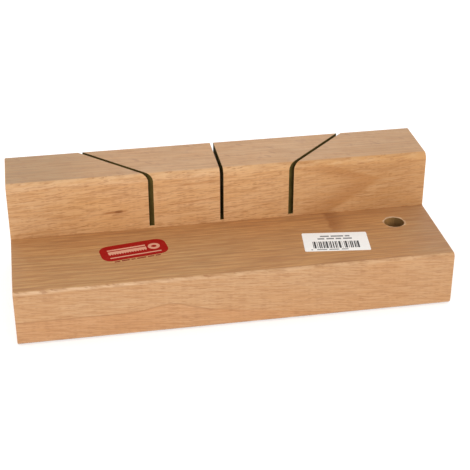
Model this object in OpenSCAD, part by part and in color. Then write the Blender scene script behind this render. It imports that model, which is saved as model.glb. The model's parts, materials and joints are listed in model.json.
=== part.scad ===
// Mitre block in beech: a base board, and a fence board along its back edge with three saw kerfs, at
// 45 degrees left, 90 degrees and 45 degrees right. Millimetres, +Z up.
// The origin is the middle of the bottom face, +X runs to the right along the block and -Y is the front.
// The fence board is one piece of wood, held as five nodes so that the kerfs stay open to a blade: the
// uncut strip under the kerfs, and the four sections that stand on it.

/* [Boards] */
// Length of both boards
block_length = 250; // [200:1:320]
// Depth of the base, from the front edge to the back
base_depth = 99; // [90:0.5:140]
// Thickness of the base board
base_thickness = 34; // [30:0.5:45]
// Thickness of the fence, from front to back
fence_thickness = 38.25; // [30:0.25:45]
// Height of the fence above the base
fence_height = 34.75; // [34:0.25:50]

/* [Rounded edges] */
// Rounding of the base's lower front and back edges
base_bottom_round = 3.5; // [1:0.1:5]
// Rounding of the base's upper front edge
base_top_round = 2.5; // [1:0.1:5]
// Rounding of the fence's upper front edge
fence_top_round = 4; // [1:0.1:5]
// Rounding of the back edge at the top of the fence
fence_back_round = 0.5; // [0.2:0.1:2]

/* [Kerfs] */
// Width of each saw kerf
kerf_width = 2.1; // [1.2:0.1:2.4]
// Distance of the 45 degree kerfs from the middle, at the front of the fence
kerf_offset = 42; // [38:0.5:48]
// Wood left under each kerf, above the base
kerf_floor = 1.5; // [0.5:0.1:3]

/* [Hanging hole] */
// Diameter of the hole
hole_diameter = 12; // [6:0.5:14]
// Distance of the hole from the right end of the block
hole_from_end = 23.5; // [15:0.5:30]
// Distance of the hole from the front of the fence
hole_from_fence = 18.25; // [12:0.25:22]

/* [Screws] */
// Overall length of each wood screw
screw_length = 60; // [45:1:60]
// Outside diameter of the thread
thread_diameter = 4.5; // [3.5:0.1:5]
// Diameter of the plain shank and of the thread's root
shank_diameter = 3.2; // [2.4:0.1:3.4]
// Diameter of the countersunk head
head_diameter = 9; // [7.5:0.1:10]
// Distance between turns of the thread
thread_pitch = 2.2; // [1.8:0.1:3]
// Depth of the screw heads below the bottom face
head_recess = 1.5; // [0.5:0.1:3]

/* [Label and mark] */
// Length of the paper label
label_length = 38.1; // [30:0.1:42]
// Width of the paper label
label_width = 21.2; // [15:0.1:24]
// Turn of the label, clockwise from above
label_turn = 6.8; // [0:0.1:10]
// Length of the printed mark
mark_length = 39; // [25:0.5:42]
// Width of the printed mark
mark_width = 17; // [10:0.5:20]
// Turn of the printed mark, anticlockwise from above
mark_turn = 8.5; // [0:0.1:12]

/* [Hidden] */
SECTIONS = ["fence_left_end", "fence_left_middle", "fence_right_middle", "fence_right_end"];
SCREWS = [for (number = [1:4]) str("fence_screw_", number)];
$fn = 64;

// Places along Y and Z that several pieces share
front_y = -base_depth / 2;
back_y = base_depth / 2;
fence_front_y = back_y - fence_thickness;
fence_middle_y = back_y - fence_thickness / 2;
front_depth = base_depth - fence_thickness;
top_z = base_thickness + fence_height;
floor_z = base_thickness + kerf_floor;

// Kerfs: how far a cut reaches past the wood, each kerf's place at the fence front, and its turn
past = 5;
kerf_x = [-kerf_offset, 0, kerf_offset];
kerf_turn = [45, 0, -45];

// Screws: one in the middle of each section of the fence, half way through its thickness
half_length = block_length / 2;
slant_x = kerf_offset + fence_thickness / 2;
screw_x = [-(half_length + slant_x) / 2, -slant_x / 2, slant_x / 2, (half_length + slant_x) / 2];
screw_gap = 0.05;
head_edge = 0.4;
head_height = (head_diameter - shank_diameter) / 2;
thread_length = 0.6 * screw_length;
tip_length = 4;
clearance_diameter = thread_diameter + 0.5;

// Label and mark: thickness of each film, corner radius, and centres on the base
film = 0.1;
label_corner = 0.8;
label_centre = [0.245 * block_length, fence_front_y - 0.583 * front_depth];
mark_centre = [-0.222 * block_length, fence_front_y - 0.403 * front_depth];

// Space outside the rounding of a corner that lies at the origin, with the solid towards +X and +Y
module corner_waste(radius) {
    difference() {
        translate([-1, -1]) square(radius + 1);
        translate([radius, radius]) circle(radius);
    }
}

// A YZ outline carried along the length of the block
module along_block() {
    translate([-half_length, 0, 0])
        rotate([90, 0, 90])
            linear_extrude(block_length) children();
}

module base_outline() {
    difference() {
        translate([front_y, 0]) square([base_depth, base_thickness]);
        translate([front_y, 0]) corner_waste(base_bottom_round);
        translate([back_y, 0]) mirror([1, 0]) corner_waste(base_bottom_round);
        translate([front_y, base_thickness]) mirror([0, 1]) corner_waste(base_top_round);
    }
}

module fence_outline() {
    difference() {
        translate([fence_front_y, base_thickness]) square([fence_thickness, fence_height]);
        translate([fence_front_y, top_z]) mirror([0, 1]) corner_waste(fence_top_round);
        translate([back_y, top_z]) rotate(180) corner_waste(fence_back_round);
    }
}

// X of one side of a kerf at a given Y: side -1 is its left side and 1 its right
function kerf_edge(number, side, y) =
    kerf_x[number]
    - tan(kerf_turn[number]) * (y - fence_front_y)
    + side * kerf_width / 2 / cos(kerf_turn[number]);

// Plan of one section of the fence, from the kerf on its left, or the end, to the kerf on its right
module section_plan(number) {
    near_y = fence_front_y - past;
    far_y = back_y + past;
    is_first = number == 0;
    is_last = number == len(kerf_x);
    polygon([
        [is_first ? -half_length : kerf_edge(number - 1, 1, near_y), near_y],
        [is_last ? half_length : kerf_edge(number, -1, near_y), near_y],
        [is_last ? half_length : kerf_edge(number, -1, far_y), far_y],
        [is_first ? -half_length : kerf_edge(number - 1, 1, far_y), far_y]
    ]);
}

// Clearance hole and countersink for one screw, from the bottom of the base
module screw_passage() {
    head_radius = head_diameter / 2 + 2 * screw_gap;
    hole_radius = clearance_diameter / 2;
    cone_z = head_recess + head_edge;
    translate([0, 0, -1]) cylinder(r = hole_radius, h = base_thickness + 2);
    translate([0, 0, -1]) cylinder(r = head_radius, h = cone_z + 1);
    translate([0, 0, cone_z])
        cylinder(r1 = head_radius, r2 = hole_radius, h = head_radius - hole_radius);
}

// Hole in the fence for the threaded end of one screw
module screw_pilot() {
    pilot_radius = thread_diameter / 2 + screw_gap;
    pilot_top = head_recess + screw_length + screw_gap;
    translate([0, 0, base_thickness - 1]) cylinder(r = pilot_radius, h = pilot_top - base_thickness + 1);
}

module base_board() {
    color("burlywood")
        difference() {
            along_block() base_outline();
            translate([half_length - hole_from_end, fence_front_y - hole_from_fence, -1])
                cylinder(d = hole_diameter, h = base_thickness + 2);
            for (x = screw_x) translate([x, fence_middle_y, 0]) screw_passage();
        }
}

// The uncut foot of the fence board, which joins its four sections under the kerfs
module fence_strip() {
    color("tan")
        difference() {
            translate([-half_length, fence_front_y, base_thickness])
                cube([block_length, fence_thickness, kerf_floor]);
            for (x = screw_x) translate([x, fence_middle_y, 0]) screw_pilot();
        }
}

// One section of the fence board, from the kerf floors up
module fence_section(number) {
    color("tan")
        difference() {
            intersection() {
                along_block() fence_outline();
                translate([0, 0, floor_z]) linear_extrude(fence_height) section_plan(number);
            }
            translate([screw_x[number], fence_middle_y, 0]) screw_pilot();
        }
}

// Half outline of a screw, head down: flat head, cone, shank, sharp rings for the thread, and the tip
module screw_half_outline() {
    root = shank_diameter / 2;
    crest = thread_diameter / 2;
    thread_start = screw_length - thread_length;
    turns = floor((thread_length - tip_length) / thread_pitch);
    polygon([
        [0, 0],
        [head_diameter / 2, 0],
        [head_diameter / 2, head_edge],
        [root, head_edge + head_height],
        for (turn = [0:turns - 1], step = [0:2]) [
            step == 1 ? crest : root,
            thread_start + (turn + step * 0.3) * thread_pitch
        ],
        [root, screw_length - tip_length],
        [0, screw_length]
    ]);
}

// Cross recess in the screw head
module cross_recess() {
    cross_width = 1.1;
    cross_span = 4.4;
    cross_depth = 2;
    for (turn = [0, 90])
        rotate(turn)
            translate([-cross_span / 2, -cross_width / 2, -1])
                cube([cross_span, cross_width, cross_depth + 1]);
    translate([0, 0, -1]) cylinder(d = cross_span / 2, h = cross_depth + 1.6);
}

module fence_screw(number) {
    color("gainsboro")
        translate([screw_x[number], fence_middle_y, head_recess])
            difference() {
                rotate_extrude() screw_half_outline();
                cross_recess();
            }
}

// Flat film with rounded corners, lying on the base
module film_on_base(length, width, corner, centre, turn) {
    translate([centre[0], centre[1], base_thickness])
        rotate(turn)
            linear_extrude(film)
                difference() {
                    translate([-length / 2, -width / 2]) square([length, width]);
                    for (side_x = [0, 1], side_y = [0, 1])
                        mirror([side_x, 0]) mirror([0, side_y])
                            translate([-length / 2, -width / 2]) corner_waste(corner);
                }
}

module paper_label() {
    color("white") film_on_base(label_length, label_width, label_corner, label_centre, -label_turn);
}

module printed_mark() {
    color("firebrick") film_on_base(mark_length, mark_width, mark_width / 3, mark_centre, mark_turn);
}

base_board();
fence_strip();
for (number = [0:3]) fence_section(number);
for (number = [0:3]) fence_screw(number);
paper_label();
printed_mark();
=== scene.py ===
import json
import math

import bpy
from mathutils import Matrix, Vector, noise


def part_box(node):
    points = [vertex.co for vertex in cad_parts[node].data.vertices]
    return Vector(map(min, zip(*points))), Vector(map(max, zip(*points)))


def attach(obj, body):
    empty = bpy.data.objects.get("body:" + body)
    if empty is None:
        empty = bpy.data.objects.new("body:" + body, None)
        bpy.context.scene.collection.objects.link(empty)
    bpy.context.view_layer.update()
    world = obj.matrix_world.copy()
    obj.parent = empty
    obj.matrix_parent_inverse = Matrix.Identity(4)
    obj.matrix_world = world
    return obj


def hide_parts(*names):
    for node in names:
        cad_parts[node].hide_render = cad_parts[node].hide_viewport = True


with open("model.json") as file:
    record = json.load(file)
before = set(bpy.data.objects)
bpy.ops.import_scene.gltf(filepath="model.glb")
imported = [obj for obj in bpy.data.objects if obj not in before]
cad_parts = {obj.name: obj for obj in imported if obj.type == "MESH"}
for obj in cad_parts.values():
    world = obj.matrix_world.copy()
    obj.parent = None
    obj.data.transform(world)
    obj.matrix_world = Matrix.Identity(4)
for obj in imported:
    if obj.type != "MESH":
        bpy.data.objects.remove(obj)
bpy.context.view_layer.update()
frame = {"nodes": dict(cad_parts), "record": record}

MM = 0.001

# Roundings of the boards' long edges, as in the CAD model, and of the sharp arrises at their ends
BASE_BOTTOM_ROUND = 3.5 * MM
BASE_TOP_ROUND = 2.5 * MM
FENCE_TOP_ROUND = 4.0 * MM
FENCE_BACK_ROUND = 0.5 * MM
END_ARRIS = 0.45 * MM

# Screw passages in the base and pilot holes in the fence, as in the CAD model
HEAD_RADIUS = 4.6 * MM
PASSAGE_RADIUS = 2.5 * MM
HEAD_EDGE = 0.4 * MM
PILOT_RADIUS = 2.3 * MM
PILOT_GAP = 0.05 * MM

# How far a cutter reaches past the wood, and how near a face must be to count as lying on a cut
PAST = 2 * MM
KERF_PAST = 12 * MM
TOUCH = 0.05 * MM
LEVEL_TOUCH = 0.01 * MM

# Chips at the hole's mouths: the least, and how much more the noise can add
CHIP_LEAST = 0.22
CHIP_MORE = 0.30

# Turn of the label and of the mark, anticlockwise from above
LABEL_TURN = math.radians(-6.8)
MARK_TURN = math.radians(8.5)
INK_THICKNESS = 0.03 * MM

# Camera: a long lens, its turn to the left of straight ahead, how far it looks down, and its aim
LENS = 91.1
AZIMUTH = math.radians(10.10)
DEPRESSION = math.radians(29.36)
AIM = Vector((4.7, -6.8, 34.4)) * MM
DISTANCE = 697.8 * MM

# Light: the even world, and one soft disk; the floor lies just below the block
WORLD_STRENGTH = 0.98
KEY_PLACE = (-0.25, -1.3, 0.55)
KEY_AIM = (0, 0, 0.03)
KEY_SIZE = 0.5
KEY_POWER = 3.0
FLOOR_HALF = 20.0
FLOOR_DROP = 0.02 * MM
FLOOR_GREY = 0.70
FLOOR_GLOW = 0.50


def mount(name):
    return next(m for m in frame["record"]["mounts"] if m["name"] == name)


BASE_LOW, BASE_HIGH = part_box("base_board")
STRIP_LOW, STRIP_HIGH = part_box("fence_strip")
FENCE_FRONT = STRIP_LOW.y
KERF_FLOOR = STRIP_HIGH.z
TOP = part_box("fence_left_end")[1].z
KERF_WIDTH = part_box("fence_right_middle")[0].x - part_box("fence_left_middle")[1].x
HOLE_CENTRE = Vector(mount("peg_hole")["pos_m"])
HOLE_RADIUS = mount("peg_hole")["dims"]["r_mm"] * MM
KERFS = [
    (Vector(mount("kerf_45_left")["pos_m"]), math.radians(45)),
    (Vector(mount("kerf_90")["pos_m"]), 0.0),
    (Vector(mount("kerf_45_right")["pos_m"]), math.radians(-45)),
]
SCREWS = {name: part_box(name) for name in (f"fence_screw_{number}" for number in (1, 2, 3, 4))}
SCREW_AXES = [(low + high) / 2 for low, high in SCREWS.values()]


# ---------------------------------------------------------------- camera, light and floor


def add_camera():
    """A long lens, looking down on the block from in front and a little to its left."""
    data = bpy.data.cameras.new("camera")
    data.lens = LENS
    data.clip_start = 0.05
    camera = bpy.data.objects.new("camera", data)
    level = math.cos(DEPRESSION)
    forward = Vector((math.sin(AZIMUTH) * level, math.cos(AZIMUTH) * level, -math.sin(DEPRESSION)))
    camera.location = AIM - forward * DISTANCE
    camera.rotation_euler = (math.radians(90) - DEPRESSION, 0, -AZIMUTH)
    bpy.context.scene.collection.objects.link(camera)
    bpy.context.scene.camera = camera


def add_key_light():
    data = bpy.data.lights.new("key", "AREA")
    data.shape = "DISK"
    data.size = KEY_SIZE
    data.energy = KEY_POWER
    light = bpy.data.objects.new("key", data)
    light.location = KEY_PLACE
    light.rotation_euler = (Vector(KEY_AIM) - light.location).to_track_quat("-Z", "Y").to_euler()
    bpy.context.scene.collection.objects.link(light)


def add_studio():
    """A white room: an even world, a soft key light from the front left and a white floor."""
    scene = bpy.context.scene
    scene.view_settings.view_transform = "Standard"
    world = bpy.data.worlds.new("studio")
    world.use_nodes = True
    background = world.node_tree.nodes["Background"]
    background.inputs["Color"].default_value = (1.0, 1.0, 1.0, 1.0)
    background.inputs["Strength"].default_value = WORLD_STRENGTH
    scene.world = world
    add_key_light()

    half, level = FLOOR_HALF, -FLOOR_DROP
    corners = [(-half, -half, level), (half, -half, level), (half, half, level), (-half, half, level)]
    floor = add_mesh("floor", corners, [(0, 1, 2, 3)])
    floor.data.materials.append(floor_material())


def floor_material():
    """Plain white, and clear when it is looked at from below, so that the underside can be seen."""
    material, shader = new_material("floor_white")
    shader.inputs["Base Color"].default_value = (FLOOR_GREY, FLOOR_GREY, FLOOR_GREY, 1.0)
    shader.inputs["Roughness"].default_value = 0.9
    shader.inputs["Specular IOR Level"].default_value = 0.1
    shader.inputs["Emission Color"].default_value = (1.0, 1.0, 1.0, 1.0)
    shader.inputs["Emission Strength"].default_value = FLOOR_GLOW
    nodes, links = material.node_tree.nodes, material.node_tree.links
    side = nodes.new("ShaderNodeNewGeometry")
    clear = nodes.new("ShaderNodeBsdfTransparent")
    choice = nodes.new("ShaderNodeMixShader")
    links.new(side.outputs["Backfacing"], choice.inputs[0])
    links.new(shader.outputs[0], choice.inputs[1])
    links.new(clear.outputs[0], choice.inputs[2])
    links.new(choice.outputs[0], nodes["Material Output"].inputs["Surface"])
    return material


# ---------------------------------------------------------------- small helpers for node graphs


def new_material(name):
    material = bpy.data.materials.new(name)
    material.use_nodes = True
    return material, material.node_tree.nodes["Principled BSDF"]


class Graph:
    """Builds a material's nodes. Every method takes numbers, tuples or sockets, and gives a socket."""

    def __init__(self, name):
        self.material, self.shader = new_material(name)
        self.tree = self.material.node_tree
        self.places = self.tree.nodes.new("ShaderNodeTexCoord")
        self.point = self.vector("SCALE", self.places.outputs["Object"], scale=1 / MM)
        self.x, self.y, self.z = self.split(self.point)
        self.normal = self.split(self.places.outputs["Normal"])

    def put(self, socket, value):
        if isinstance(value, bpy.types.NodeSocket):
            self.tree.links.new(value, socket)
        elif isinstance(value, tuple) and len(socket.default_value) == 4 and len(value) == 3:
            socket.default_value = (*value, 1.0)
        else:
            socket.default_value = value

    def math(self, operation, a, b=0.0):
        node = self.tree.nodes.new("ShaderNodeMath")
        node.operation = operation
        for socket, value in zip(node.inputs, (a, b)):
            self.put(socket, value)
        return node.outputs[0]

    def vector(self, operation, a, b=(0.0, 0.0, 0.0), scale=1.0):
        node = self.tree.nodes.new("ShaderNodeVectorMath")
        node.operation = operation
        self.put(node.inputs[0], a)
        self.put(node.inputs[1], b)
        if operation == "SCALE":
            node.inputs["Scale"].default_value = scale
        return node.outputs["Vector"]

    def split(self, vector):
        node = self.tree.nodes.new("ShaderNodeSeparateXYZ")
        self.put(node.inputs[0], vector)
        return tuple(node.outputs)

    def join(self, x, y, z):
        node = self.tree.nodes.new("ShaderNodeCombineXYZ")
        for socket, value in zip(node.inputs, (x, y, z)):
            self.put(socket, value)
        return node.outputs[0]

    def add(self, *values):
        total = values[0]
        for value in values[1:]:
            total = self.math("ADD", total, value)
        return total

    def times(self, *values):
        total = values[0]
        for value in values[1:]:
            total = self.math("MULTIPLY", total, value)
        return total

    def less(self, a, b):
        return self.math("SUBTRACT", a, b)

    def step(self, value, low, high):
        """0 below low and 1 above high, smooth in between. With low above high it falls instead."""
        node = self.tree.nodes.new("ShaderNodeMapRange")
        node.interpolation_type = "SMOOTHSTEP"
        rising = low < high
        self.put(node.inputs["Value"], value)
        node.inputs["From Min"].default_value = min(low, high)
        node.inputs["From Max"].default_value = max(low, high)
        node.inputs["To Min"].default_value = 0.0 if rising else 1.0
        node.inputs["To Max"].default_value = 1.0 if rising else 0.0
        return node.outputs["Result"]

    def between(self, value, low, high, soft_low, soft_high):
        """1 from low to high, with an edge of its own softness at each end."""
        rise = self.step(value, low - soft_low / 2, low + soft_low / 2)
        fall = self.step(value, high + soft_high / 2, high - soft_high / 2)
        return self.times(rise, fall)

    def stretched(self, place, sizes, offset=0.0):
        """The place divided by a pattern's size along each axis."""
        shifted = self.vector("ADD", place, (offset, offset * 1.7, offset * 0.6))
        return self.vector("DIVIDE", shifted, sizes)

    def noise(self, place, detail=2.0, roughness=0.5):
        node = self.tree.nodes.new("ShaderNodeTexNoise")
        self.put(node.inputs["Vector"], place)
        node.inputs["Scale"].default_value = 1.0
        node.inputs["Detail"].default_value = detail
        node.inputs["Roughness"].default_value = roughness
        return node.outputs["Fac"]

    def swing(self, place, amount, detail=2.0):
        """Noise that swings about zero, by up to about the amount each way."""
        return self.times(self.less(self.noise(place, detail), 0.5), 2.0 * amount)

    def cells(self, place):
        """(distance to the nearest cell's middle, a random number for that cell)."""
        node = self.tree.nodes.new("ShaderNodeTexVoronoi")
        self.put(node.inputs["Vector"], place)
        node.inputs["Scale"].default_value = 1.0
        colour = self.split(node.outputs["Color"])
        return node.outputs["Distance"], colour[0]

    def mix(self, factor, a, b, blend="MIX"):
        node = self.tree.nodes.new("ShaderNodeMix")
        node.data_type = "RGBA"
        node.blend_type = blend
        node.clamp_factor = True
        colours = [s for s in node.inputs if s.type == "RGBA"]
        self.put(node.inputs["Factor"], factor)
        self.put(colours[0], a)
        self.put(colours[1], b)
        return next(s for s in node.outputs if s.type == "RGBA")

    def finish(self, colour, roughness, height, depth):
        """Sends the colour, the roughness and a height of the given depth to the shader."""
        self.put(self.shader.inputs["Base Color"], colour)
        self.put(self.shader.inputs["Roughness"], roughness)
        bump = self.tree.nodes.new("ShaderNodeBump")
        bump.inputs["Strength"].default_value = 1.0
        bump.inputs["Distance"].default_value = depth
        self.put(bump.inputs["Height"], height)
        self.put(self.shader.inputs["Normal"], bump.outputs["Normal"])
        return self.material


# ---------------------------------------------------------------- beech

# Sizes of the grain's patterns in millimetres: along the board, out from the pith, and around it
FIBRES_SIDE = (16, 3.0, 0.5)
FIBRES_TOP = (16, 0.5, 3.0)
FIBRES_SAWN = (16, 0.42, 0.42)
PORES = (2.4, 0.16, 0.16)
STREAKS = (12.0, 6.0, 0.62)
LINES = (22.0, 1.25, 6.0)
BANDS = (26.0, 1.25, 3.0)
CLUSTERS = (40.0, 9.0, 6.0)

# The same along X, Y and Z
WANDER = (95, 30, 26)
RIPPLE = (17, 6, 5)
# The next size is for the pale arrises, partly wear and partly painted highlight
WEAR_AND_HIGHLIGHT = (9, 3, 3)
# The next size sets the ragged top of the painted contact shadow along the bottom edges
CONTACT_SHADOW_WOBBLE = (12, 4, 40)
BLOTCH = 26.0
# Colour of the painted contact shadow along the bottom edges
CONTACT_SHADOW_COLOUR = (0.13, 0.105, 0.085)

# Ends of rays: length, thickness, share of the places that have one, and strength
RAY_ENDS = ((3.8, 0.32, 0.45, 0.9), (6.4, 0.38, 0.36, 1.0), (2.5, 0.28, 0.42, 0.75))
RAY_SPACING = 9.0

# Relief of planed and of sawn wood
PLANED_RELIEF = 0.05 * MM
SAWN_RELIEF = 0.12 * MM


class Beech(Graph):
    """Beech as a solid: rings about a pith that runs along the board, rays that cross them, and fibres.

    The pith is given as (y, z) in millimetres. A front face then shows short dark streaks and arched
    rings, an upper face wavy lengthwise bands, and an end face arcs crossed by fine rays. The lean is how
    far the fibres climb for each millimetre toward +X.
    """

    def __init__(self, name, pith, lean, spacing, seed):
        super().__init__(name)
        self.seed = seed
        across = self.less(self.y, pith[0])
        along_up = self.less(self.z, pith[1])
        radius = self.math("SQRT", self.add(self.times(across, across), self.times(along_up, along_up)))
        wander = self.swing(self.stretched(self.point, WANDER, seed), 3.2)
        ripple = self.swing(self.stretched(self.point, RIPPLE, seed + 7), 0.55)
        self.depth = self.add(radius, self.times(self.x, 0.012), wander, ripple)
        climb = self.times(self.x, -lean)
        self.turn = self.add(self.times(self.math("ARCTAN2", along_up, across), 90.0), climb, ripple)
        self.age = self.math("DIVIDE", self.depth, spacing)
        self.wood = self.join(self.x, self.depth, self.turn)

        nx, ny, nz = (self.math("ABSOLUTE", n) for n in self.normal)
        self.is_top = self.step(nz, 0.955, 0.995)
        self.is_end = self.step(nx, 0.90, 0.99)
        flattest = self.math("MAXIMUM", self.math("MAXIMUM", nx, ny), nz)
        self.is_arris = self.step(flattest, 0.985, 0.86)

    def rings(self):
        """Darkening toward the end of each year's growth, stronger in some years than in others."""
        grown = self.math("FRACT", self.age)
        sharp = self.times(self.math("POWER", grown, 1.6), self.step(grown, 1.0, 0.86))
        years = self.noise(self.join(self.times(self.age, 0.45), self.times(self.x, 0.02), self.seed), 1.0)
        return self.times(sharp, self.step(years, 0.20, 0.66))

    def rays(self, length, thickness, share):
        """Ends of rays: short spindles along the grain, on about the given share of the places."""
        place = self.stretched(self.wood, (length, RAY_SPACING, thickness), self.seed + length)
        distance, chance = self.cells(place)
        size = self.times(self.step(chance, 1.0 - share, 1.0), 0.46)
        return self.step(self.less(size, distance), -0.06, 0.12)

    def streaks(self, sizes, low, high, offset=0.0):
        """Noise drawn out along the grain, from 0 below low to 1 above high."""
        place = self.stretched(self.wood, sizes, self.seed + offset)
        return self.step(self.noise(place, 2.0, 0.55), low, high)

    def patches(self, size):
        place = self.stretched(self.point, (size * 2.2, size, size), self.seed + 11)
        return self.noise(place, 2.0)


class Grain:
    """The patterns of planed beech, each a mask or a noise over the board."""

    def __init__(self, g):
        self.side = g.less(1.0, g.is_top)
        self.rings = g.rings()
        self.fibres = g.add(
            g.times(g.noise(g.stretched(g.wood, FIBRES_SIDE, g.seed + 3), 3.0, 0.6), self.side),
            g.times(g.noise(g.stretched(g.wood, FIBRES_TOP, g.seed + 4), 3.0, 0.6), g.is_top),
        )
        self.pores = g.streaks(PORES, 0.62, 0.78, 5)
        self.streaks = g.streaks(STREAKS, 0.47, 0.63, 13)
        self.lines = g.times(g.streaks(LINES, 0.44, 0.60, 53), g.is_top)
        self.bands = g.streaks(BANDS, 0.34, 0.66, 29)
        flecks = None
        for length, thickness, share, strength in RAY_ENDS:
            ends = g.times(g.rays(length, thickness, share), strength)
            flecks = ends if flecks is None else g.math("MAXIMUM", flecks, ends)
        cluster = g.add(0.78, g.times(g.streaks(CLUSTERS, 0.36, 0.62, 37), 0.22))
        self.flecks = g.times(flecks, cluster)

    def height(self, g):
        """Fibres and rings stand up, and pores and ray ends are sunk."""
        return g.add(
            g.times(self.fibres, 0.55),
            g.times(self.rings, 0.25),
            g.times(self.pores, -0.5),
            g.times(self.flecks, -0.35),
        )


def plain_colours(g, tones):
    """Broad tones by face: side, upper or lower face, and end. Sides and upper faces differ partly as
    painted light and shade.
    """
    blotch = g.patches(BLOTCH)
    front = g.mix(g.step(blotch, 0.30, 0.72), tones["front_pale"], tones["front_warm"])
    top = g.mix(g.step(blotch, 0.30, 0.72), tones["top_pale"], tones["top_warm"])
    end = g.mix(g.step(blotch, 0.35, 0.65), tones["end_pale"], tones["end_warm"])
    return g.mix(g.is_end, g.mix(g.is_top, front, top), end)


def grained(g, grain, colour, tones):
    """Lays the grain over the colour."""
    deepened = g.times(g.step(grain.fibres, 0.60, 0.40), g.add(0.18, g.times(grain.side, 0.16)))
    streaked = g.times(grain.streaks, g.add(0.10, g.times(grain.side, 0.24)))
    flecked = g.times(grain.flecks, g.add(0.18, g.times(grain.side, tones["side_flecks"])))
    ring_strength = g.add(0.10, g.times(g.is_top, tones["top_rings"]), g.times(g.is_end, 0.4))
    for mask, tint in (
        (deepened, tones["deep"]),
        (streaked, tones["ray"]),
        (g.times(grain.lines, tones["top_lines"]), tones["ray"]),
        (flecked, tones["ray"]),
        (g.times(grain.rings, ring_strength), tones["ring"]),
        (g.times(grain.pores, 0.16), tones["ring"]),
    ):
        colour = g.mix(mask, colour, tint)
    bands = g.times(grain.bands, g.is_top, tones["top_bands"])
    shade = g.add(0.92, g.times(grain.fibres, 0.14), bands)
    return g.mix(1.0, colour, g.join(shade, shade, shade), "MULTIPLY")


def wear_and_painted_light(g, colour, tones):
    """Pale wear on the arrises, partly painted highlight, and a painted contact shadow along the bottom
    edges.
    """
    # Pale arrises: partly wear, partly painted highlight where the rounded edges catch the light
    rubs_and_glints = g.noise(g.stretched(g.point, WEAR_AND_HIGHLIGHT, g.seed + 19), 3.0)
    wear_and_highlight = g.times(g.is_arris, g.step(rubs_and_glints, 0.42, 0.66))
    colour = g.mix(g.times(wear_and_highlight, 0.38), colour, tones["worn_and_lit"])
    # Painted contact shadow: the bottom edges darken toward the floor they sit on
    height = g.add(g.z, g.swing(g.stretched(g.point, CONTACT_SHADOW_WOBBLE, g.seed + 23), 0.5))
    painted_contact_shadow = g.times(g.step(height, 1.7, 0.5), g.less(1.0, g.is_top), 0.62)
    return g.mix(painted_contact_shadow, colour, CONTACT_SHADOW_COLOUR)


def planed_beech(name, pith, lean, spacing, seed, tones, features):
    """Planed beech. tones are its colours by face; features(graph) gives extra (mask, colour) layers."""
    g = Beech(name, pith, lean, spacing, seed)
    grain = Grain(g)
    colour = plain_colours(g, tones)
    for mask, tint in features(g):
        colour = g.mix(mask, colour, tint)
    colour = wear_and_painted_light(g, grained(g, grain, colour, tones), tones)
    roughness = g.add(
        0.50, g.times(grain.fibres, 0.16), g.times(grain.flecks, -0.08), g.times(g.is_end, 0.12)
    )
    return g.finish(colour, roughness, grain.height(g), PLANED_RELIEF)


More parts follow.
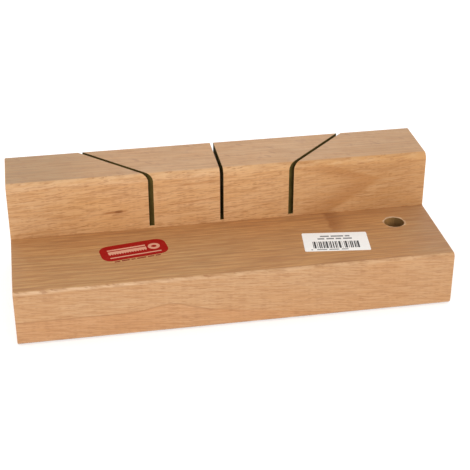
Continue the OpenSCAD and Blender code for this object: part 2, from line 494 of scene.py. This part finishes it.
def fence_features(g):
    """A pin knot, an arrow-shaped darker figure near the right end, and marks on the upper face.

    Places are in millimetres. Features of the front fade out behind it, so that they stay off the back.
    """
    low, high = BASE_LOW / MM, BASE_HIGH / MM
    length, fence_top = high.x - low.x, TOP / MM
    front = FENCE_FRONT / MM
    side = g.times(g.less(1.0, g.is_top), g.step(g.y, front + 9.0, front + 5.0))

    # The knot, with a reddish tail to its left and a pale halo
    knot_x, knot_z = low.x + 0.254 * length, fence_top - 22.3
    along = g.less(g.x, knot_x)
    up = g.add(g.less(g.z, knot_z), g.times(along, -0.05))
    reach = g.math("SQRT", g.add(g.times(along, along, 0.36), g.times(up, up, 2.6)))
    knot = g.step(reach, 1.95, 0.75)
    tail = g.times(g.between(along, -8.0, 4.0, 7.0, 7.0), g.step(g.math("ABSOLUTE", up), 1.15, 0.2))
    halo = g.step(reach, 4.6, 1.3)

    # The arrow-shaped figure points to the right, with a paler streak outside its lower edge
    bend = g.swing(g.stretched(g.point, (14, 12, 7), 31), 4.5)
    tip_x, tip_z = high.x - 27.0, fence_top - 14.0
    rise = g.less(g.z, tip_z)
    above = g.times(g.math("MAXIMUM", rise, 0.0), 3.0)
    under = g.times(g.math("MAXIMUM", g.times(rise, -1.0), 0.0), 1.6)
    inside = g.add(g.less(tip_x, g.x), g.times(above, -1.0), g.times(under, -1.0), bend)
    arrow = g.times(g.step(inside, -2.5, 3.0), g.step(inside, 30.0, 4.0), side)
    outside = g.times(g.between(inside, -12.0, -3.0, 7.0, 4.0), side, g.step(rise, 2.0, -5.0))

    # The front is a little duller at its left end, and browner toward its right end
    left_end = g.times(g.step(g.x, low.x + 70.0, low.x + 8.0), side)
    right_end = g.times(g.step(g.x, high.x - 125.0, high.x - 20.0), side)

    # Painted highlight: the rounded upper arris is paler where it faces the light, and turns orange toward
    # the right
    ragged = g.swing(g.stretched(g.point, (20, 6, 6), 91), 0.9)
    lit_arris = g.times(
        g.step(g.add(g.z, ragged), fence_top - 4.6, fence_top - 3.2),
        g.step(g.add(g.y, ragged), front + 4.6, front + 3.0),
    )
    orange = g.step(g.x, low.x + 90.0, high.x - 40.0)

    # The upper face has slanted ray flecks and soft spots, and is greyer toward its ends
    across = g.add(g.times(g.x, 0.62), g.times(g.y, 0.78))
    along_fleck = g.add(g.times(g.x, 0.78), g.times(g.y, -0.62))
    slanted = g.join(across, along_fleck, g.z)
    distance, chance = g.cells(g.stretched(slanted, (2.8, 8.5, 9.0), 43))
    fleck = g.step(g.less(g.times(g.step(chance, 0.45, 1.0), 0.36), distance), -0.04, 0.12)
    spots = g.step(g.noise(g.stretched(g.point, (4.2, 5.5, 9.0), 61), 1.0), 0.60, 0.78)
    grey_left = g.times(g.is_top, g.step(g.x, low.x + 75.0, low.x + 20.0))
    grey_right = g.times(g.is_top, g.step(g.x, high.x - 75.0, high.x - 15.0))

    # Two faint lines climb toward the middle kerf: ends in X, drop from the top, and rise
    threads = []
    for left, right, drop, rise in ((-24.0, -3.0, 6.6, 0.065), (-30.0, -1.5, 17.9, 0.083)):
        level = g.less(g.z, fence_top - drop)
        off = g.math("ABSOLUTE", g.add(level, g.times(g.less(g.x, right), -rise)))
        threads.append(g.times(g.between(g.x, left, right, 6.0, 4.0), g.step(off, 0.75, 0.20), side))

    return [
        (g.times(left_end, 0.45), (0.57, 0.335, 0.165)),
        (g.times(right_end, 0.65), (0.47, 0.228, 0.076)),
        (g.times(arrow, 0.68), (0.45, 0.195, 0.060)),
        (g.times(outside, 0.40), (0.68, 0.400, 0.190)),
        (g.times(halo, side, 0.30), (0.70, 0.40, 0.190)),
        # Painted highlight on the rounded upper arris, pale on the left and orange on the right
        (g.times(lit_arris, g.less(1.0, orange), 0.42), (0.68, 0.42, 0.225)),
        (g.times(lit_arris, orange, 0.32), (0.68, 0.36, 0.135)),
        (g.times(threads[0], 0.50), (0.46, 0.190, 0.060)),
        (g.times(threads[1], 0.60), (0.46, 0.190, 0.060)),
        (g.times(tail, side, 0.74), (0.32, 0.090, 0.022)),
        (g.times(knot, side, 0.97), (0.125, 0.022, 0.003)),
        (g.times(grey_left, 0.82), (0.385, 0.248, 0.134)),
        (g.times(grey_right, 0.40), (0.43, 0.262, 0.140)),
        (g.times(fleck, g.is_top, 0.42), (0.31, 0.175, 0.110)),
        (g.times(spots, g.is_top, 0.30), (0.36, 0.200, 0.130)),
    ]


def base_features(g):
    """A growth line low on the front, a darker patch by the fence and a pale rim around the hole.

    Places are in millimetres. Features of the front and of the upper face stay off the faces behind them.
    """
    low, high = BASE_LOW / MM, BASE_HIGH / MM
    on_front = g.times(g.less(1.0, g.is_top), g.step(g.y, low.y + 4.0, low.y + 3.0))
    on_top = g.times(g.is_top, g.step(g.z, high.z - 4.0, high.z - 3.0))

    # The line runs level from the left, climbs to a crest and falls away again
    ragged = g.swing(g.stretched(g.point, (24, 12, 9), 57), 0.7)
    crest = g.less(g.x, low.x + 85.0)
    climb = g.times(g.math("EXPONENT", g.times(crest, crest, -0.006)), 3.4)
    fall = g.times(g.math("MAXIMUM", g.less(crest, 6.0), 0.0), 0.14)
    over = g.add(g.less(g.z, 15.2), g.times(climb, -1.0), fall, ragged)
    near = g.step(g.x, low.x + 135.0, low.x + 105.0)
    line = g.times(g.between(over, -0.7, 0.1, 1.1, 0.5), on_front, near)
    below = g.times(g.step(over, 0.1, -0.6), on_front)

    # Painted highlight: the rounded upper arris is pale on its left half, where it catches the light
    highlight_wobble = g.swing(g.stretched(g.point, (26, 3, 3), 101), 0.9)
    arris_highlight = g.times(
        g.step(g.add(g.y, highlight_wobble), low.y + 1.9, low.y + 1.2),
        g.step(g.add(g.z, highlight_wobble), high.z - 1.7, high.z - 0.8),
        g.step(g.x, low.x + 110.0, low.x + 60.0),
    )

    # The upper face is warmer by the fence, partly its tone and partly painted shade and bounce light from
    # the fence, and is warmer toward the middle and greyer at its right end
    foot = FENCE_FRONT / MM
    drift = g.swing(g.stretched(g.point, (40, 16, 16), 67), 9.0)
    warm_and_shaded_by_fence = g.times(g.step(g.add(g.y, drift), foot - 34.0, foot + 6.0), on_top)
    warm_right = g.times(g.between(g.add(g.x, drift), -5.0, high.x - 20.0, 60.0, 30.0), on_top)
    grey_end = g.times(g.step(g.add(g.x, drift), high.x - 36.0, high.x - 2.0), on_top)

    # The patch has a hard left edge and fades toward the front and the right
    patch_x = g.add(g.x, g.swing(g.stretched(g.point, (7, 3, 5), 71), 2.6))
    patch_fade = g.add(0.55, g.times(g.step(g.x, high.x - 42.0, high.x - 60.0), 0.45))
    patch = g.times(
        g.between(patch_x, high.x - 63.0, high.x - 55.0, 2.5, 13.0),
        g.between(g.y, foot - 22.0, foot + 5.0, 9.0, 1.0),
        on_top,
        patch_fade,
    )

    # Chipped wood shows pale around the hole's upper mouth
    hole = HOLE_CENTRE / MM
    hx, hy = g.less(g.x, hole.x), g.less(g.y, hole.y)
    out = g.less(g.math("SQRT", g.add(g.times(hx, hx), g.times(hy, hy))), HOLE_RADIUS / MM)
    chips = g.add(0.70, g.swing(g.stretched(g.point, (2.6, 2.6, 2.6), 84), 1.6))
    rim = g.times(g.step(g.less(out, chips), 0.25, -0.15), g.step(g.z, high.z - 1.2, high.z - 0.5))
    return [
        # Painted highlight along the rounded upper arris
        (g.times(arris_highlight, 0.60), (0.80, 0.540, 0.330)),
        (g.times(below, 0.38), (0.56, 0.250, 0.095)),
        (g.times(line, 0.55), (0.33, 0.150, 0.058)),
        (g.times(warm_right, 0.55), (0.46, 0.218, 0.072)),
        # Warmer by the fence: partly the wood's tone, partly painted shade and bounce light
        (g.times(warm_and_shaded_by_fence, 0.50), (0.52, 0.235, 0.078)),
        (g.times(grey_end, 0.65), (0.38, 0.212, 0.104)),
        (g.times(patch, 0.90), (0.28, 0.104, 0.028)),
        (g.times(rim, 0.85), (0.66, 0.49, 0.32)),
    ]


# Fence colours by face. The fronts are lighter and more orange than the upper faces partly as painted light
# and shade, and the fence's colours are lighter than the base's partly as painted light, making up for the
# bounce light the fence front gets less of. The last colour is the pale arrises', partly wear and partly
# painted highlight.
FENCE_TONES = {
    "deep": (0.62, 0.275, 0.070),
    "front_pale": (0.720, 0.420, 0.203),
    "front_warm": (0.710, 0.387, 0.152),
    "top_pale": (0.54, 0.338, 0.190),
    "top_warm": (0.53, 0.308, 0.158),
    "top_rings": 0.10,
    "top_bands": 0.13,
    "top_lines": 0.14,
    "side_flecks": 0.45,
    "end_pale": (0.47, 0.255, 0.120),
    "end_warm": (0.42, 0.215, 0.095),
    "ray": (0.36, 0.140, 0.034),
    "ring": (0.36, 0.165, 0.065),
    "worn_and_lit": (0.70, 0.420, 0.205),
}
# Base colours by face, with the same painted light and shade between the fronts and the upper faces. The
# last colour is the pale arrises', partly wear and partly painted highlight.
BASE_TONES = {
    "deep": (0.48, 0.205, 0.050),
    "front_pale": (0.572, 0.333, 0.165),
    "front_warm": (0.557, 0.298, 0.132),
    "top_pale": (0.478, 0.272, 0.110),
    "top_warm": (0.505, 0.266, 0.097),
    "top_rings": 0.85,
    "top_bands": 0.15,
    "top_lines": 0.50,
    "side_flecks": 0.45,
    "end_pale": (0.48, 0.265, 0.130),
    "end_warm": (0.43, 0.220, 0.100),
    "ray": (0.34, 0.138, 0.044),
    "ring": (0.34, 0.155, 0.060),
    "worn_and_lit": (0.76, 0.480, 0.270),
}


def sawn_beech(name, pale, dark, shaded_right=False):
    """Kerf and bore walls: cut across the fibres, and scored by the teeth or the drill.

    With the last argument set, the peg hole's wall is darker on its right, as painted shade inside the
    bore.
    """
    g = Beech(name, pith=(-40.0, 20.0), lean=0.0, spacing=1.7, seed=91)
    g.shader.inputs["Specular IOR Level"].default_value = 0.1
    fibres = g.noise(g.stretched(g.wood, FIBRES_SAWN, 94), 3.0, 0.6)
    pores = g.streaks(PORES, 0.62, 0.78, 5)
    marks = g.noise(g.stretched(g.point, (0.5, 0.5, 9.0), 97), 2.0)
    colour = g.mix(g.step(g.patches(9.0), 0.3, 0.7), pale, dark)
    shade = g.less(1.0, g.add(g.times(pores, 0.25), g.times(g.step(marks, 0.5, 0.7), 0.2)))
    colour = g.mix(1.0, colour, g.join(shade, shade, shade), "MULTIPLY")
    # Painted shade inside the bore: its wall darkens toward the right
    if shaded_right:
        middle = HOLE_CENTRE.x / MM
        painted_shade_right = g.times(g.step(g.x, middle - 4.0, middle + 4.5), 0.72)
        colour = g.mix(painted_shade_right, colour, (0.060, 0.036, 0.010))
    height = g.add(g.times(fibres, 0.4), g.times(marks, 0.8), g.times(pores, -0.4))
    return g.finish(colour, 0.8, height, SAWN_RELIEF)


# ---------------------------------------------------------------- steel, paper and ink


def zinc_steel():
    g = Graph("zinc_plated_steel")
    cloud = g.noise(g.stretched(g.point, (1.2, 1.2, 1.2), 3), 3.0)
    scratch = g.noise(g.stretched(g.point, (4.0, 0.12, 0.5), 13), 2.0)
    colour = g.mix(g.step(cloud, 0.3, 0.7), (0.66, 0.66, 0.63), (0.48, 0.48, 0.47))
    g.shader.inputs["Metallic"].default_value = 1.0
    roughness = g.add(0.24, g.times(cloud, 0.16), g.times(scratch, 0.10))
    height = g.add(g.times(scratch, 0.5), g.times(cloud, 0.5))
    return g.finish(colour, roughness, height, depth=0.02 * MM)


def label_paper():
    g = Graph("label_paper")
    cloud = g.noise(g.stretched(g.point, (9.0, 7.0, 9.0), 5), 3.0)
    fuzz = g.noise(g.stretched(g.point, (0.25, 0.25, 0.25), 17), 3.0)
    colour = g.mix(g.step(cloud, 0.35, 0.75), (0.93, 0.90, 0.86), (0.88, 0.87, 0.84))
    colour = g.mix(g.times(g.step(fuzz, 0.60, 0.75), 0.25), colour, (0.64, 0.64, 0.63))
    return g.finish(colour, g.add(0.52, g.times(fuzz, 0.12)), fuzz, depth=0.012 * MM)


def paper_ink(name, seed, low, full, thin):
    """Ink on paper: full where the noise is below low, and thinner above it."""
    g = Graph(name)
    fuzz = g.noise(g.stretched(g.point, (0.22, 0.3, 0.3), seed), 3.0)
    colour = g.mix(g.step(fuzz, low, 0.75), full, thin)
    return g.finish(colour, g.add(0.45, g.times(fuzz, 0.15)), fuzz, depth=0.006 * MM)


def printed_ink(name, full, thin, seed):
    """Ink pressed onto wood: it thins along the fibres and misses a few pores."""
    g = Graph(name)
    g.shader.inputs["Specular IOR Level"].default_value = 0.12
    fibres = g.noise(g.stretched(g.point, (9.0, 0.4, 0.4), seed), 3.0, 0.6)
    pores = g.step(g.noise(g.stretched(g.point, (2.2, 0.22, 0.22), seed + 3), 1.0), 0.68, 0.80)
    colour = g.mix(g.step(fibres, 0.42, 0.78), full, thin)
    colour = g.mix(g.times(pores, 0.45), colour, (0.42, 0.20, 0.10))
    height = g.add(g.times(fibres, 0.6), g.times(pores, -0.5))
    return g.finish(colour, g.add(0.42, g.times(fibres, 0.2)), height, depth=0.03 * MM)


# ---------------------------------------------------------------- shapes


def add_mesh(name, points, faces):
    mesh = bpy.data.meshes.new(name)
    mesh.from_pydata([tuple(p) for p in points], [], faces)
    mesh.update()
    piece = bpy.data.objects.new(name, mesh)
    bpy.context.scene.collection.objects.link(piece)
    return piece


def arc(centre, radius, start, end, steps=10):
    """Points (y, z) on an arc, from one angle to another in degrees."""
    angles = [math.radians(start + (end - start) * i / steps) for i in range(steps + 1)]
    return [(centre[0] + radius * math.cos(a), centre[1] + radius * math.sin(a)) for a in angles]


def corner(y, z, radius, quadrant):
    """A rounded corner at (y, z) of an outline that is walked anticlockwise. Quadrant 0 points to +Y +Z."""
    toward_y = -1 if quadrant in (0, 3) else 1
    toward_z = -1 if quadrant in (0, 1) else 1
    centre = (y + toward_y * radius, z + toward_z * radius)
    return arc(centre, radius, 90 * quadrant, 90 * quadrant + 90)


def base_outline():
    """Anticlockwise outline of the base, seen from +X: (y, z, whether it is glued to the fence)."""
    low, high = BASE_LOW, BASE_HIGH
    gap = 1.5 * END_ARRIS
    rounded = [
        *corner(low.y, high.z, BASE_TOP_ROUND, 1),
        *corner(low.y, low.z, BASE_BOTTOM_ROUND, 2),
        *corner(high.y, low.z, BASE_BOTTOM_ROUND, 3),
    ]
    return [
        (high.y, high.z, True),
        (FENCE_FRONT, high.z, True),
        (FENCE_FRONT - gap, high.z, False),
        *((y, z, False) for y, z in rounded),
    ]


def fence_outline():
    rounded = [
        *corner(STRIP_HIGH.y, TOP, FENCE_BACK_ROUND, 0),
        *corner(FENCE_FRONT, TOP, FENCE_TOP_ROUND, 1),
    ]
    return [
        *((y, z, False) for y, z in rounded),
        (FENCE_FRONT, STRIP_LOW.z, True),
        (STRIP_HIGH.y, STRIP_LOW.z, True),
    ]


def inward(outline):
    """For each point of an anticlockwise outline, the move that insets both its sides by one unit."""
    moves = []
    for i, (y, z, glued) in enumerate(outline):
        before, after = outline[i - 1], outline[(i + 1) % len(outline)]
        normals = []
        for (y0, z0), (y1, z1) in (((before[0], before[1]), (y, z)), ((y, z), (after[0], after[1]))):
            length = math.hypot(y1 - y0, z1 - z0)
            normals.append(((z0 - z1) / length, (y1 - y0) / length))
        (ay, az), (by, bz) = normals
        shared = 1 + ay * by + az * bz
        moves.append(((ay + by) / shared, 0.0 if glued else (az + bz) / shared))
    return moves


def board(name, outline, x_low, x_high, step=5.0 * MM, rounding_steps=4):
    """A board: the outline carried from end to end, with its end arrises rounded."""
    moves = inward(outline)
    turns = [math.radians(90 * i / rounding_steps) for i in range(rounding_steps + 1)]
    rounding = [(END_ARRIS * (1 - math.cos(a)), END_ARRIS * (1 - math.sin(a))) for a in turns]
    middle = int((x_high - x_low) / step)
    run = (x_high - x_low - 2 * END_ARRIS) / middle
    sections = [(x_low + off, inset) for off, inset in rounding]
    sections += [(x_low + END_ARRIS + i * run, 0.0) for i in range(1, middle)]
    sections += [(x_high - off, inset) for off, inset in reversed(rounding)]
    points = [
        (x, y + inset * move[0], z + inset * move[1])
        for x, inset in sections
        for (y, z, _), move in zip(outline, moves)
    ]
    n = len(outline)
    faces = [tuple(reversed(range(n)))]
    for s in range(len(sections) - 1):
        for i in range(n):
            j = (i + 1) % n
            faces.append((s * n + i, s * n + j, (s + 1) * n + j, (s + 1) * n + i))
    faces.append(tuple(range((len(sections) - 1) * n, len(sections) * n)))
    return add_mesh(name, points, faces)


def lathe(name, centre, rings, sides=64):
    """A closed turned solid. rings are (radius, z) from the bottom up; either may depend on the turn."""
    points, faces = [], []
    for radius, z in rings:
        for i in range(sides):
            turn = 2 * math.pi * i / sides
            r = radius(turn) if callable(radius) else radius
            height = z(turn) if callable(z) else z
            points.append((centre.x + r * math.cos(turn), centre.y + r * math.sin(turn), height))
    for level in range(len(rings) - 1):
        for i in range(sides):
            j = (i + 1) % sides
            a, b = level * sides, (level + 1) * sides
            faces.append((a + i, a + j, b + j, b + i))
    faces.append(tuple(reversed(range(sides))))
    faces.append(tuple(range((len(rings) - 1) * sides, len(rings) * sides)))
    return add_mesh(name, points, faces)


def hole_cutter():
    """The hole's cutter, flared unevenly at its mouths where the drill has chipped the wood."""

    def chip(turn, seed):
        place = Vector((2.2 * math.cos(turn), 2.2 * math.sin(turn), seed))
        return (CHIP_LEAST + CHIP_MORE * abs(noise.noise(place))) * MM

    top, bottom = BASE_HIGH.z, BASE_LOW.z
    rings = [
        (lambda t: HOLE_RADIUS + chip(t, 5.0) + PAST, bottom - PAST),
        (lambda t: HOLE_RADIUS + chip(t, 5.0), bottom),
        (HOLE_RADIUS, lambda t: bottom + chip(t, 5.0)),
        (HOLE_RADIUS, lambda t: top - chip(t, 9.0)),
        (lambda t: HOLE_RADIUS + chip(t, 9.0), top),
        (lambda t: HOLE_RADIUS + chip(t, 9.0) + PAST, top + PAST),
    ]
    return lathe("cut_hole", HOLE_CENTRE, rings)


def screw_cutter(name):
    """A screw's passage up through the base: head, countersink and plain hole."""
    low, high = SCREWS[name]
    cone = low.z + HEAD_EDGE
    rings = [
        (HEAD_RADIUS, BASE_LOW.z - PAST),
        (HEAD_RADIUS, cone),
        (PASSAGE_RADIUS, cone + HEAD_RADIUS - PASSAGE_RADIUS),
        (PASSAGE_RADIUS, BASE_HIGH.z + PAST),
    ]
    return lathe("cut_" + name, (low + high) / 2, rings, 32)


def pilot_cutter(name):
    """Room in the fence for the thread, out to the CAD pilot hole."""
    low, high = SCREWS[name]
    rings = [(PILOT_RADIUS, STRIP_LOW.z - MM), (PILOT_RADIUS, high.z + PILOT_GAP)]
    return lathe("cut_pilot_" + name, (low + high) / 2, rings, 32)


def kerf_cutter(number):
    """A plate of the kerf's width that stands in the fence, along the way of the saw."""
    centre, turn = KERFS[number]
    half_length = (STRIP_HIGH.y - FENCE_FRONT) / math.cos(turn) / 2 + KERF_PAST
    side = Vector((math.cos(turn), math.sin(turn), 0)) * KERF_WIDTH / 2
    along = Vector((-math.sin(turn), math.cos(turn), 0)) * half_length
    corners = [centre - side - along, centre + side - along, centre + side + along, centre - side + along]
    points = [(c.x, c.y, z) for z in (KERF_FLOOR, TOP + KERF_PAST) for c in corners]
    faces = [(3, 2, 1, 0), (4, 5, 6, 7), (0, 1, 5, 4), (1, 2, 6, 5), (2, 3, 7, 6), (3, 0, 4, 7)]
    return add_mesh(f"cut_kerf_{number}", points, faces)


def cut(piece, cutters):
    """Takes the cutters out of the piece, and removes them."""
    for cutter in cutters:
        modifier = piece.modifiers.new("cut", "BOOLEAN")
        modifier.operation = "DIFFERENCE"
        modifier.solver = "EXACT"
        modifier.object = cutter
    graph = bpy.context.evaluated_depsgraph_get()
    mesh = bpy.data.meshes.new_from_object(piece.evaluated_get(graph), depsgraph=graph)
    piece.modifiers.clear()
    piece.data = mesh
    for cutter in cutters:
        bpy.data.objects.remove(cutter)


def smooth(piece, angle=32):
    mesh = piece.data
    mesh.polygons.foreach_set("use_smooth", [True] * len(mesh.polygons))
    mesh.set_sharp_from_angle(angle=math.radians(angle))
    weighted = piece.modifiers.new("weighted_normals", "WEIGHTED_NORMAL")
    weighted.keep_sharp = True
    weighted.weight = 90


def in_kerf(centre, normal):
    """On a wall or the floor of a kerf."""
    if centre.z < KERF_FLOOR - LEVEL_TOUCH:
        return False
    is_floor = centre.z < KERF_FLOOR + LEVEL_TOUCH < KERF_FLOOR + normal.z
    for middle, turn in KERFS:
        side = Vector((math.cos(turn), math.sin(turn), 0))
        near = abs((centre - middle).dot(side)) < KERF_WIDTH / 2 + TOUCH
        if near and (abs(normal.dot(side)) > 0.95 or is_floor):
            return True
    return False


def in_bore(centre, normal):
    """On the wall of the hole, or in a screw passage."""
    if abs(normal.z) < 0.3 and (centre.xy - HOLE_CENTRE.xy).length < HOLE_RADIUS + TOUCH:
        return True
    return abs(normal.z) < 0.8 and any(
        (centre.xy - axis.xy).length < HEAD_RADIUS + TOUCH for axis in SCREW_AXES
    )


def dress(piece, planed, sawn, is_sawn):
    """Planed wood all over, and sawn wood on the faces that is_sawn picks."""
    piece.data.materials.clear()
    piece.data.materials.append(planed)
    piece.data.materials.append(sawn)
    for face in piece.data.polygons:
        face.material_index = 1 if is_sawn(face.center, face.normal) else 0


def add_boards():
    # The bore's wall, with painted shade on its right
    bored = sawn_beech("beech_bored", (0.58, 0.320, 0.115), (0.46, 0.240, 0.080), shaded_right=True)
    # The kerf walls and floors are very dark, mostly as painted shade inside the narrow kerfs
    sawn = sawn_beech("beech_sawn_painted_shade", (0.125, 0.090, 0.022), (0.085, 0.058, 0.012))
    base = board("base_board_wood", base_outline(), BASE_LOW.x, BASE_HIGH.x)
    cut(base, [hole_cutter(), *(screw_cutter(name) for name in SCREWS)])
    wood = {"pith": (-150.0, 9.0), "lean": -0.075, "spacing": 3.7, "seed": 5}
    planed = planed_beech("beech_base", **wood, tones=BASE_TONES, features=base_features)
    dress(base, planed, bored, in_bore)
    smooth(base)
    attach(base, "root")
    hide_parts("base_board")

    fence = board("fence_board_wood", fence_outline(), STRIP_LOW.x, STRIP_HIGH.x)
    kerfs = [kerf_cutter(number) for number in range(len(KERFS))]
    cut(fence, kerfs + [pilot_cutter(name) for name in SCREWS])
    wood = {"pith": (-118.0, 49.0), "lean": 0.03, "spacing": 3.1, "seed": 37}
    planed = planed_beech("beech_fence", **wood, tones=FENCE_TONES, features=fence_features)
    dress(fence, planed, sawn, in_kerf)
    smooth(fence)
    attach(fence, "root")
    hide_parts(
        "fence_strip", "fence_left_end", "fence_left_middle", "fence_right_middle", "fence_right_end"
    )


# ---------------------------------------------------------------- prints


def prisms(name, outlines, node, turn, material, floor_z=None):
    """Thin closed ink shapes on a CAD film, or at floor_z.

    The outlines are anticlockwise, in lengths from the film's middle: u to its right, v to its top.
    """
    low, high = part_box(node)
    centre = (low + high) / 2
    bottom = high.z if floor_z is None else floor_z
    cos, sin = math.cos(turn), math.sin(turn)
    points, faces = [], []
    for outline in outlines:
        n, first = len(outline), len(points)
        for z in (bottom, bottom + INK_THICKNESS):
            for u, v in outline:
                points.append((centre.x + u * cos - v * sin, centre.y + u * sin + v * cos, z))
        faces.append(tuple(first + i for i in reversed(range(n))))
        faces.append(tuple(first + n + i for i in range(n)))
        for i in range(n):
            j = (i + 1) % n
            faces.append((first + i, first + j, first + n + j, first + n + i))
    piece = add_mesh(name, points, faces)
    piece.data.materials.append(material)
    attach(piece, "root")


def rectangle(u0, v0, u1, v1):
    return [(u0, v0), (u1, v0), (u1, v1), (u0, v1)]


def bar_pattern():
    """Two groups of bars whose widths and gaps follow a made-up rule, so that they say nothing."""
    unit, bottom, top = 0.35 * MM, -7.3 * MM, 0.4 * MM
    bars = []
    for start, end in ((-13.8 * MM, 1.6 * MM), (4.4 * MM, 13.8 * MM)):
        u, step = start, 0
        while u < end:
            thick = (1 + (step * 5 + step * step // 2) % 3) * unit
            gap = (1 + (step * 3 + 1) // 4 % 2) * unit
            bars.append(rectangle(u, bottom, u + thick, top))
            u += thick + gap
            step += 1
    for u in (2.4 * MM, 3.3 * MM):
        bars.append(rectangle(u, bottom, u + 0.5 * unit, top))
    return bars


def rows_of_strokes():
    """Plain strokes where a label would have its wording: two rows above the bars and one below."""
    rows = [
        (5.7, 1.45, -8.6, [5.2, 1.1, 7.4, 0.9, 2.8]),
        (2.8, 1.45, -10.4, [4.0, 1.3, 4.4, 1.0, 3.2, 1.1, 5.2]),
        (-9.3, 0.95, -15.4, [1.0, 2.4, 5.8, 1.2, 5.8, 1.3, 4.0]),
    ]
    strokes = []
    for v, height, start, lengths in rows:
        u = start
        for i, length in enumerate(lengths):
            if i % 2 == 0:
                strokes.append(rectangle(u * MM, v * MM, (u + length) * MM, (v + height) * MM))
            u += length
    return strokes


def saw_pictogram():
    """A plain backsaw seen from the side: blade with teeth, stiff back and handle, above a thin rule."""
    left, right = -15.0 * MM, 7.5 * MM
    tooth, teeth = 1.5 * MM, 15
    edge, tips, top = -1.0 * MM, -2.2 * MM, 1.6 * MM
    zigzag = []
    for i in range(teeth):
        zigzag += [(left + i * tooth, edge), (left + (i + 0.5) * tooth, tips)]
    blade = [*zigzag, (right, edge), (right, top), (left, top)]
    back = rectangle(left, 2.6 * MM, right, 3.9 * MM)
    handle = (right + 4.6 * MM, 0.75 * MM)
    outer, inner = (3.5 * MM, 3.3 * MM), (1.6 * MM, 1.3 * MM)

    def oval(radii, angles):
        return [(handle[0] + radii[0] * math.cos(t), handle[1] + radii[1] * math.sin(t)) for t in angles]

    halves = []
    for start in (0, 180):
        angles = [math.radians(start + 15 * i) for i in range(13)]
        halves.append(oval(outer, angles) + oval(inner, angles)[::-1])
    rule = rectangle(left, -5.9 * MM, 15.0 * MM, -4.9 * MM)
    return [blade, back, *halves, rule]


def strokes_below_mark():
    """A row of plain strokes on the wood, just below the mark."""
    strokes, u = [], -13.6 * MM
    for length in (3.2, 4.4, 2.2, 5.2, 3.6, 2.8):
        strokes.append(rectangle(u, -10.3 * MM, u + length * MM, -9.3 * MM))
        u += (length + 1.1) * MM
    return strokes


def add_prints():
    """The films and screws keep their CAD shapes, and the print on them is thin ink."""
    nodes = frame["nodes"]
    red = printed_ink("red_ink", full=(0.33, 0.002, 0.002), thin=(0.36, 0.010, 0.008), seed=41)
    materials = {"paper_label": label_paper(), "printed_mark": red}
    steel = zinc_steel()
    materials.update({name: steel for name in SCREWS})
    for name, material in materials.items():
        nodes[name].data.materials.clear()
        nodes[name].data.materials.append(material)

    black = paper_ink("black_ink", 23, 0.45, full=(0.012, 0.017, 0.022), thin=(0.045, 0.055, 0.065))
    prisms("label_bars", bar_pattern(), "paper_label", LABEL_TURN, black)
    grey = paper_ink("grey_ink", 29, 0.4, full=(0.15, 0.15, 0.16), thin=(0.40, 0.40, 0.40))
    prisms("label_strokes", rows_of_strokes(), "paper_label", LABEL_TURN, grey)
    pale = printed_ink("pale_ink", full=(0.70, 0.36, 0.24), thin=(0.62, 0.22, 0.15), seed=47)
    prisms("mark_pictogram", saw_pictogram(), "printed_mark", MARK_TURN, pale)
    dark = printed_ink("dark_red_ink", full=(0.20, 0.016, 0.012), thin=(0.30, 0.06, 0.04), seed=53)
    prisms("mark_strokes", strokes_below_mark(), "printed_mark", MARK_TURN, dark, BASE_HIGH.z)


add_camera()
add_studio()
add_boards()
add_prints()
